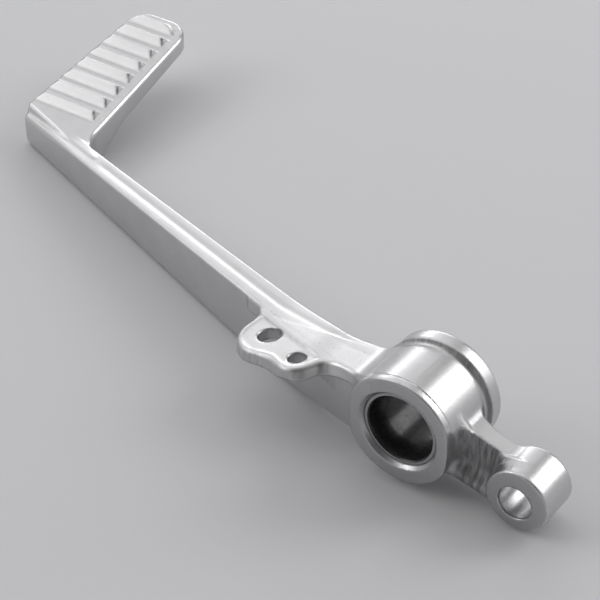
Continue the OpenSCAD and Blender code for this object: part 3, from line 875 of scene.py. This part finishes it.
@dataclass(frozen=True)
class PedalCasting:
    """The one-piece casting: hub, arm, toe plate, tab and rod lever under one skin; sizes in mm."""

    hub: PivotHub = PivotHub()
    arm: PedalArm = PedalArm()
    toe: ToePlate = ToePlate()
    tab: DrilledTab = DrilledTab()
    lever: RodLever = RodLever()
    mesher: SkinMesher = SkinMesher()
    top_softness: float = 0.3
    top_lift: float = 0.3
    top_lift_span: Pair = (-22.0, -8.0)
    toe_fillet: float = 0.5
    tab_fillet: float = 0.9
    tab_fillet_fade: float = 0.86
    barrel_fillet: float = 4.0
    lever_fillet: float = 1.2
    lever_near_extra: float = 2.1
    collar_fillet: float = 1.0
    face_fillet: float = 0.7
    hole_edge: float = 0.3
    lever_start_x: float = 15.0

    def distance(self, x: Array, y: Array, z: Array) -> Array:
        """Distance to the casting: its parts joined by fillets, then bored and drilled."""
        behind = self.arm.near_plane(x, y)
        lift = self.top_lift * past(x, *self.top_lift_span)
        arm_z = soft_max(self.arm.line_top(x), self.tab.top(x) + lift, self.top_softness)
        toe = self.toe.distance(x, y, z, self.arm.far_side(x, y), behind, arm_z)
        share = self.tab.arm_share(x, behind)
        solid = self.arm.distance(x, y, z, arm_z)
        for part, fillet in (
            (toe, self.toe_fillet),
            (self.tab.distance(x, y, z, share, behind, arm_z), self.tab_fillet - self.tab_fillet_fade * share),
            (self.hub.barrel(x, y, z), self.barrel_fillet),
            (self.lever.distance(x, y, z), self.lever_fillet + self.lever_near_extra * past(y, -1.0, -2.0)),
            (self.hub.collar(x, y, z), self.collar_fillet),
            (self.hub.turned_end(x, y, z), self.face_fillet),
        ):
            solid = joined(solid, part, fillet)
        solid = maximum(solid, -self.hub.bore(x, y, z))
        pin_hole = np.where(x < self.lever_start_x, np.inf, self.lever.past_pin(x, z))
        solid = met(solid, -pin_hole, self.hole_edge)
        return met(solid, -self.tab.holes(x, y, z), self.hole_edge)

    def build(self) -> bpy.types.Object:
        """Meshes the skin inside the CAD node's box, dresses it and lets it stand for that node."""
        low, high = (np.array(corner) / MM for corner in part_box("pedal_casting"))
        places, quads, normals = self.mesher.build(self.distance, low, high)
        places = np.clip(places, low, high)
        obj = mesh_object("pedal_casting_skin", places, quads, normals)
        obj.data.materials.append(CastAluminium().make())
        obj.data.materials.append(TurnedAluminium().make())
        turned = self.turned(places[quads].mean(axis=1), normals[quads].mean(axis=1))
        zones = np.where(turned, Zone.TURNED.value, Zone.CAST.value).astype(np.int32)
        obj.data.polygons.foreach_set("material_index", zones)
        # The stria attribute roughens the skin; the shade attribute is painted shade.
        for name, share in zip(("stria", "shade"), self.marks(places, normals)):
            mark = obj.data.attributes.new(name, "FLOAT", "POINT")
            mark.data.foreach_set("value", share.astype(np.float32))
        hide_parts("pedal_casting")
        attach(obj, "root")
        log.info("casting: %d quads", len(quads))
        return obj

    def turned(self, middle: Array, facing: Array) -> Array:
        """Tells by middle and direction which faces were cut: the hub's ends and bore, the boss's ends and its hole."""
        hub, lever = self.hub, self.lever
        x, y, z = middle.T
        away = hypot(x, z)
        near_ring = (y < -hub.half_length + 0.35) & (away < hub.face_radius + 1)
        far_face = (y > hub.half_length - 0.1) & (away < hub.collar_radius)
        bore = away < hub.bore_radius + hub.bore_chamfer + 0.1
        half_boss = (lever.boss_far - lever.boss_near) / 2
        at_boss_end = np.abs(y - lever.boss_far + half_boss) > half_boss - 0.2
        past_pin = lever.past_pin(x, z)
        near_boss = past_pin < lever.boss_radius - lever.pin_radius + 0.5
        boss_face = at_boss_end & (np.abs(facing[:, 1]) > 0.9) & near_boss
        return near_ring | far_face | bore | boss_face | (past_pin < 0.15)

    def marks(self, places: Array, normals: Array) -> tuple[Array, Array]:
        """Where the cast skin is rough, and where shade is painted into its colour.

        Both shares are high in the recess on the lever's near side and on the collar's near side and low on
        the tab's side wall; the lever's top is rough alone, and the hips of the ribs get painted shade alone.
        """
        x, y, z = places.T
        facing_near, facing_up = -normals[:, 1], normals[:, 2]
        off_boss = past(self.lever.past_boss(x, z), 0.0, 0.8)
        recess = past(x, 9.5, 3.0) * off_boss * past(y, -1.2, -1.5) * past(facing_near, -0.1, 0.5)
        away = hypot(x, z)
        by_collar = (away < 17) & (y > 3) & (x > -10)
        collar_side = past(away, 12.0, 0.5) * past(facing_near, 0.3, 0.4) * by_collar
        lever_top = past(x, 8.0, 3.0) * off_boss * past(facing_up, 0.3, 0.4)
        by_tab = (z > -3.5) & (y < 5.5)
        wall = past(x, -20.0, -2.0) * past(x, -50.0, 2.0) * past(facing_near, 0.35, 0.3) * by_tab
        on_plate = (y > self.toe.start_y) * past(facing_up, 0.7, 0.1)
        # Painted shade on the ribs' hips, faint along their feet.
        ribs = on_plate * self.toe.ribs.painted_rib_shade(y, self.toe.from_inner(x, y))
        rough = np.max([recess, 0.6 * collar_side, 0.5 * lever_top, 0.4 * wall], axis=0)
        # The second share is painted shade, laid into the colour.
        dark = np.max([0.6 * recess, 0.5 * collar_side, 0.25 * wall, 0.85 * ribs], axis=0)
        return rough, dark


@dataclass(frozen=True)
class PivotBush:
    """Wrapped dry sliding bush in the hub's bore; sizes in mm."""

    inner: float = 8.0
    outer: float = 9.0
    half_length: float = 9.0
    lead: float = 0.3
    edge: float = 0.12
    around: int = 160

    def profile(self) -> list[tuple[float, float, bool, int]]:
        """Closed section from the lining round to the lining.

        Each row is a radius, a place along Y, whether the face that follows is smooth, and its
        material: 0 for the lining and 1 for the steel shell.
        """
        h, lead, edge = self.half_length, self.lead, self.edge
        return [
            (self.inner, -h + lead, True, 0), (self.inner, -h / 3, True, 0), (self.inner, h / 3, True, 0),
            (self.inner, h - lead, False, 0), (self.inner + lead, h, False, 1), (self.outer - edge, h, False, 1),
            (self.outer, h - edge, True, 1), (self.outer, -h + edge, False, 1), (self.outer - edge, -h, False, 1),
            (self.inner + lead, -h, False, 0),
        ]

    def build(self) -> bpy.types.Object:
        """Turns the section about the pivot axis: each row goes round at its radius times cosine and sine."""
        radius, along, smooth, shell = (np.array(column) for column in zip(*self.profile()))
        turn = np.arange(self.around) * 2 * np.pi / self.around
        x = radius * np.cos(turn)[:, None]
        z = radius * np.sin(turn)[:, None]
        places = np.stack([x, np.broadcast_to(along, x.shape), z], -1).reshape(-1, 3)
        quads = grid_quads(self.around, len(radius), closed=True)
        obj = mesh_object("pivot_bush_ring", places, quads)
        obj.data.polygons.foreach_set("use_smooth", np.tile(smooth, self.around))
        obj.data.materials.append(SLIDING_LINING.make())
        obj.data.materials.append(BARE_STEEL.make())
        obj.data.polygons.foreach_set("material_index", np.tile(shell, self.around).astype(np.int32))
        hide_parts("pivot_bush")
        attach(obj, "root")
        log.info("bush: %d quads", len(quads))
        return obj


@dataclass(frozen=True)
class Softbox:
    """Rectangular softbox that faces the part; lengths in metres.

    Toward is the direction from the part, size its lengths across and along, level the brightness of
    its face, where 1 is white, and along the direction that its second length follows.
    """

    name: str
    toward: Place
    away: float
    size: Pair
    level: float
    along: Place = (0.0, 0.0, 1.0)
    aim: Place = (-0.05, 0.02, 0.0)

    def hang(self) -> None:
        """Adds the lamp and turns its face to the part."""
        lamp = bpy.data.lights.new(self.name, "AREA")
        lamp.shape = "RECTANGLE"
        lamp.size, lamp.size_y = self.size
        lamp.energy = self.level * np.pi * self.size[0] * self.size[1]
        obj = bpy.data.objects.new(self.name, lamp)
        back = Vector(self.toward).normalized()
        across = Vector(self.along).cross(back).normalized()
        turn = Matrix((across, back.cross(across), back)).transposed().to_4x4()
        obj.matrix_world = Matrix.Translation(Vector(self.aim) + back * self.away) @ turn
        bpy.context.scene.collection.objects.link(obj)


@dataclass(frozen=True)
class Studio:
    """Plain pale floor, soft light and the camera at the photograph's angle; floor lengths in metres."""

    floor_z: float = -15.0 * MM
    floor_front: float = -2.5
    floor_bend: float = 1.5
    floor_radius: float = 0.9
    floor_half_width: float = 3.0
    wall_top: float = 3.0
    camera_mm: Place = (187.314, -299.408, 298.08)
    camera_turn: Place = (52.616, 0.569, 35.805)
    lens_mm: float = 130.03
    sky: Pair = (0.53, 0.12)
    dark_toward: Place = (0.46, -0.65, 0.6)

    def floor(self) -> None:
        """Lays a large matt floor that rises behind the part in one smooth curve.

        Along the sweep the height stays 0 and then follows a quarter circle; across it is straight.
        """
        turn = np.linspace(0.05, np.pi / 2, 24)
        front = np.linspace(self.floor_front, self.floor_bend, 9)
        bend = self.floor_bend + self.floor_radius * np.sin(turn)
        sweep = np.concatenate([front, bend, [self.floor_bend + self.floor_radius]])
        rise = np.concatenate([0 * front, self.floor_radius * (1 - np.cos(turn)), [self.wall_top]])
        across = np.linspace(-self.floor_half_width, self.floor_half_width, 13)
        v, u = np.meshgrid(across, sweep, indexing="ij")
        a = np.radians(self.camera_turn[2])
        x = v * np.cos(a) - u * np.sin(a)
        y = u * np.cos(a) + v * np.sin(a)
        z = np.broadcast_to(rise, u.shape) + self.floor_z
        places = np.stack([x, y, z], -1).reshape(-1, 3) / MM
        obj = mesh_object("studio_floor", places, grid_quads(len(across), len(sweep), closed=False))
        material, bench = new_material("studio_paper")
        paper = {"Base Color": hex_linear(STUDIO_PAPER), "Roughness": 0.9, "Specular IOR Level": 0.1}
        bench.add("OutputMaterial", {"Surface": bench.add("BsdfPrincipled", paper)["BSDF"]})
        obj.data.materials.append(material)

    def room(self) -> None:
        """Fills the room with an even light that darkens towards the camera, as a dim studio does."""
        world = bpy.data.worlds.new("studio_room")
        bpy.context.scene.world = world
        world.use_nodes = True
        world.node_tree.nodes.clear()
        bench = NodeBench(world.node_tree)
        ray = bench.add("TexCoord")["Generated"]
        facing = bench.add("VectorMath", {"0": ray, "1": self.dark_toward}, operation="DOT_PRODUCT")
        fade = spread(facing["Value"], (0.55, 0.95), self.sky)
        level = bench.add("MapRange", fade, interpolation_type="SMOOTHSTEP")
        light = bench.add("Background", {"Color": hex_linear("#FFFFFF"), "Strength": level["Result"]})
        bench.add("OutputWorld", {"Surface": light["Background"]})

    def lamps(self) -> None:
        """Hangs the softboxes.

        The top one is what the flat tops mirror, the back one draws the ribs' crests, the edge one the
        near edges, the side one the bright bands on barrel and boss, and the left one lights the near walls.
        """
        for softbox in (
            Softbox("top_softbox", (-0.6, 0.42, 0.68), 1.2, (1.3, 1.5), 0.57),
            Softbox("back_softbox", (-0.47, 0.82, 0.3), 1.2, (0.3, 1.0), 2.4, along=(1.0, 0.0, 0.0)),
            Softbox("edge_softbox", (-0.76, -0.05, 0.65), 1.1, (0.26, 0.7), 1.0, along=(0.0, 1.0, 0.0)),
            Softbox("side_softbox", (0.52, 0.64, 0.5), 1.0, (0.4, 0.7), 3.0, along=(-0.57, 0.0, 0.82)),
            Softbox("left_softbox", (-0.68, -0.5, 0.54), 1.1, (0.55, 0.55), 1.9),
        ):
            softbox.hang()

    def camera(self) -> None:
        """Places the camera that the photograph's circles and mirror image give."""
        data = bpy.data.cameras.new("product_camera")
        data.sensor_width = 36.0
        data.lens = self.lens_mm
        data.clip_start = 0.01
        obj = bpy.data.objects.new("product_camera", data)
        obj.location = Vector(self.camera_mm) * MM
        obj.rotation_euler = Euler([np.radians(v) for v in self.camera_turn], "XYZ")
        bpy.context.scene.collection.objects.link(obj)
        bpy.context.scene.camera = obj

    def build(self) -> None:
        """Floor, light, camera and the plain view."""
        self.floor()
        self.room()
        self.lamps()
        self.camera()
        bpy.context.scene.view_settings.view_transform = "Standard"


def main() -> None:
    """Builds the casting, the bush and the studio."""
    logging.basicConfig(level=logging.INFO, format="%(name)s: %(message)s")
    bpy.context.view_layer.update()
    PedalCasting().build()
    PivotBush().build()
    Studio().build()


if __name__ == "__main__":
    main()
